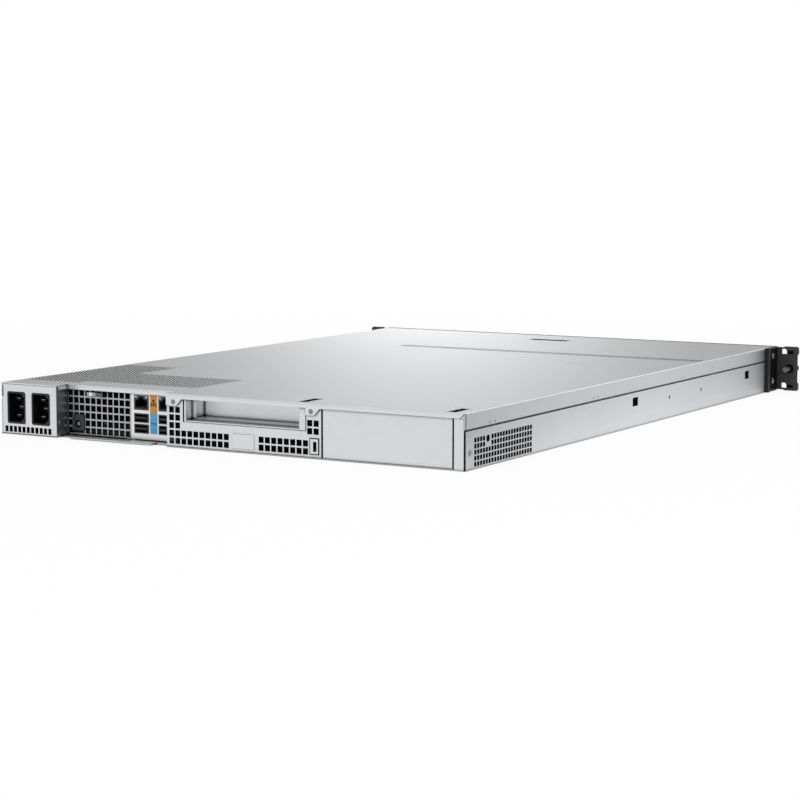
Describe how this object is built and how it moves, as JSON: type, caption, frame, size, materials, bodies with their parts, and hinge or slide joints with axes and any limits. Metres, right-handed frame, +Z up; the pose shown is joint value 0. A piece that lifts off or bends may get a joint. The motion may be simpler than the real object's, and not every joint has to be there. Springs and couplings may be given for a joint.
{
  "type": "rack server",
  "caption": "Low steel rack-mount computer case with rack ears, front drive trays with levers, fans, circuit board, power supply, rear ports and a lift-off vented cover.",
  "frame": {"origin": "centre of the bounding box in plan, at the underside of the floor sheet", "axes": "+Z up, +Y towards the rear ports, +X to the right as seen from the front; the drive trays pull out along -Y"},
  "size_m": [0.4826, 0.6506, 0.043],
  "materials": {
    "case_steel": "zinc-coated sheet, satin, faint lengthwise mottle",
    "bright_steel": "bright nickel-plated sheet",
    "zinc_screw": "bright zinc",
    "black_coat": "matte black powder coat",
    "knob_metal": "satin black, turned",
    "front_black": "fine-grained moulding",
    "lever_grey": "fine-grained moulding",
    "button_grey": "smooth moulding",
    "inlet_black": "glass-filled moulding",
    "rotor_black": "smooth moulding",
    "contact_metal": "nickel plate",
    "board_green": "solder mask over glass laminate",
    "socket_steel": "stamped steel",
    "cooler_aluminium": "extruded",
    "latch_white": "moulding",
    "drive_cast": "cast and machined",
    "lead_sleeve": "braided sleeve"
  },
  "bodies": {
    "chassis": {"base_pan": "case_steel", "side_wall_left": "case_steel", "side_wall_right": "case_steel", "rear_panel": "case_steel", "io_shield": "bright_steel", "port_stacks": "bright_steel", "round_jack": "inlet_black", "rear_tab": "case_steel", "riser_cage": "case_steel", "slot_frame": "case_steel", "slot_blank": "case_steel", "rear_blank_panel": "case_steel", "drive_cage": "case_steel", "front_panel": "front_black", "control_board": "board_green", "ear_left": "black_coat", "ear_right": "black_coat", "case_screws": "zinc_screw", "rivets": "case_steel", "psu_case": "case_steel", "psu_board": "board_green", "power_inlets": "inlet_black", "inlet_pins": "contact_metal", "psu_fan_frame": "inlet_black", "mainboard": "board_green", "board_standoffs": "zinc_screw", "cpu_sockets": "socket_steel", "heatsinks": "cooler_aluminium", "memory_slots": "inlet_black", "memory_modules": "board_green", "riser_card": "board_green", "fan_bracket": "case_steel", "fan_frames": "inlet_black", "backplane": "board_green", "internal_cables": "lead_sleeve"},
    "cover": {"top_cover": "case_steel", "cover_rails": "case_steel", "cover_rivets": "case_steel"},
    "cover_release": {"cover_button": "front_black"},
    "bay_1": {"carrier_1": "front_black", "drive_1": "drive_cast"},
    "handle_1": {"lever_1": "lever_grey"},
    "bay_2": {"carrier_2": "front_black", "drive_2": "drive_cast"},
    "handle_2": {"lever_2": "lever_grey"},
    "bay_3": {"carrier_3": "front_black", "drive_3": "drive_cast"},
    "handle_3": {"lever_3": "lever_grey"},
    "knob_left": {"thumbscrew_left": "knob_metal"},
    "knob_right": {"thumbscrew_right": "knob_metal"},
    "fan_1": {"fan_rotor_1": "rotor_black"},
    "fan_2": {"fan_rotor_2": "rotor_black"},
    "fan_3": {"fan_rotor_3": "rotor_black"},
    "fan_4": {"fan_rotor_4": "rotor_black"},
    "fan_5": {"fan_rotor_5": "rotor_black"},
    "supply_fan": {"psu_fan_rotor": "rotor_black"},
    "latches_front": {"memory_latches_front": "latch_white"},
    "latches_rear": {"memory_latches_rear": "latch_white"},
    "power_key": {"power_button": "button_grey"},
    "id_key": {"id_button": "button_grey"}
  },
  "joints": [
    {"name": "cover_lift", "type": "slide", "parent": "chassis", "child": "cover", "axis": [0, 0, 1], "range_m": [0, 0.12]},
    {"name": "cover_release_press", "type": "slide", "parent": "cover", "child": "cover_release", "axis": [0, 0, -1], "range_m": [0, 0.0015], "stiffness_N_per_m": 600, "springref_m": -0.001},
    {"name": "bay_1_slide", "type": "slide", "parent": "chassis", "child": "bay_1", "axis": [0, -1, 0], "range_m": [0, 0.17]},
    {"name": "handle_1_swing", "type": "hinge", "parent": "bay_1", "child": "handle_1", "pos_m": [-0.20495, -0.32365, 0.0216], "axis": [0, 0, -1], "range_deg": [0, 60]},
    {"name": "bay_2_slide", "type": "slide", "parent": "chassis", "child": "bay_2", "axis": [0, -1, 0], "range_m": [0, 0.17]},
    {"name": "handle_2_swing", "type": "hinge", "parent": "bay_2", "child": "handle_2", "pos_m": [-0.09925, -0.32365, 0.0216], "axis": [0, 0, -1], "range_deg": [0, 60]},
    {"name": "bay_3_slide", "type": "slide", "parent": "chassis", "child": "bay_3", "axis": [0, -1, 0], "range_m": [0, 0.17]},
    {"name": "handle_3_swing", "type": "hinge", "parent": "bay_3", "child": "handle_3", "pos_m": [0.00645, -0.32365, 0.0216], "axis": [0, 0, -1], "range_deg": [0, 60]},
    {"name": "knob_left_turn", "type": "hinge", "parent": "chassis", "child": "knob_left", "pos_m": [-0.23255, -0.31915, 0.0215], "axis": [0, 1, 0], "continuous": true},
    {"name": "knob_right_turn", "type": "hinge", "parent": "chassis", "child": "knob_right", "pos_m": [0.23255, -0.31915, 0.0215], "axis": [0, 1, 0], "continuous": true},
    {"name": "fan_1_spin", "type": "hinge", "parent": "chassis", "child": "fan_1", "pos_m": [-0.179, -0.09835, 0.02175], "axis": [0, 1, 0], "continuous": true},
    {"name": "fan_2_spin", "type": "hinge", "parent": "chassis", "child": "fan_2", "pos_m": [-0.117, -0.09835, 0.02175], "axis": [0, 1, 0], "continuous": true},
    {"name": "fan_3_spin", "type": "hinge", "parent": "chassis", "child": "fan_3", "pos_m": [-0.055, -0.09835, 0.02175], "axis": [0, 1, 0], "continuous": true},
    {"name": "fan_4_spin", "type": "hinge", "parent": "chassis", "child": "fan_4", "pos_m": [0.007, -0.09835, 0.02175], "axis": [0, 1, 0], "continuous": true},
    {"name": "fan_5_spin", "type": "hinge", "parent": "chassis", "child": "fan_5", "pos_m": [0.069, -0.09835, 0.02175], "axis": [0, 1, 0], "continuous": true},
    {"name": "supply_fan_spin", "type": "hinge", "parent": "chassis", "child": "supply_fan", "pos_m": [0.1892, 0.03915, 0.02135], "axis": [0, 1, 0], "continuous": true},
    {"name": "latches_front_swing", "type": "hinge", "parent": "chassis", "child": "latches_front", "pos_m": [-0.0964, 0.00475, 0.0106], "axis": [1, 0, 0], "range_deg": [0, 28]},
    {"name": "latches_rear_swing", "type": "hinge", "parent": "chassis", "child": "latches_rear", "pos_m": [-0.0964, 0.14455, 0.0106], "axis": [-1, 0, 0], "range_deg": [0, 28]},
    {"name": "power_key_press", "type": "slide", "parent": "chassis", "child": "power_key", "axis": [0, 1, 0], "range_m": [0, 0.0012], "stiffness_N_per_m": 500, "springref_m": -0.0005},
    {"name": "id_key_press", "type": "slide", "parent": "chassis", "child": "id_key", "axis": [0, 1, 0], "range_m": [0, 0.0012], "stiffness_N_per_m": 500, "springref_m": -0.0005}
  ]
}
